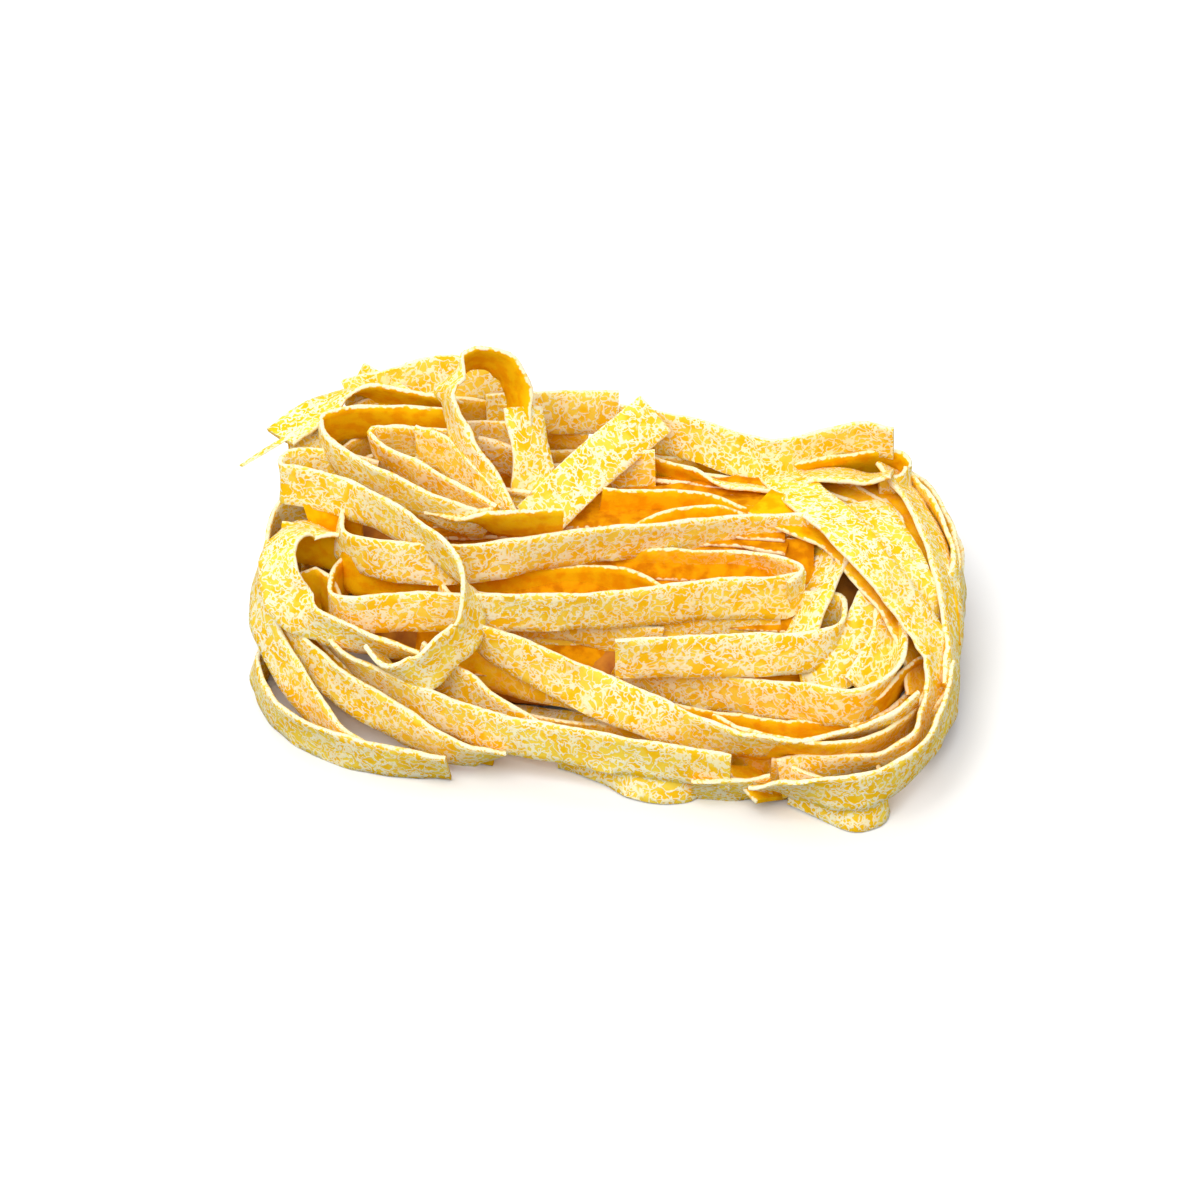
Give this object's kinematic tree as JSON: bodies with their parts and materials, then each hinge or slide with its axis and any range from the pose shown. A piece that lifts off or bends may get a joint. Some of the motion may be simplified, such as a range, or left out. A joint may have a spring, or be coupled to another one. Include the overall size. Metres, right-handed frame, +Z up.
{
  "type": "dry pasta nest",
  "caption": "Oblong nest of dried flat egg-pasta ribbons, wound in loops with hairpin turns, loose cut ends and a tall standing loop.",
  "frame": {"origin": "centre of the bounding box's base, on the table the nest rests on", "axes": "+X along the nest's length, +Y towards its high back, +Z up"},
  "size_m": [0.0984, 0.0606, 0.0447],
  "materials": {
    "dried_pasta": "rough dried egg dough, golden yellow with a cream-white mottle"
  },
  "bodies": {
    "root": {"pasta_nest": "dried_pasta"}
  },
  "joints": []
}
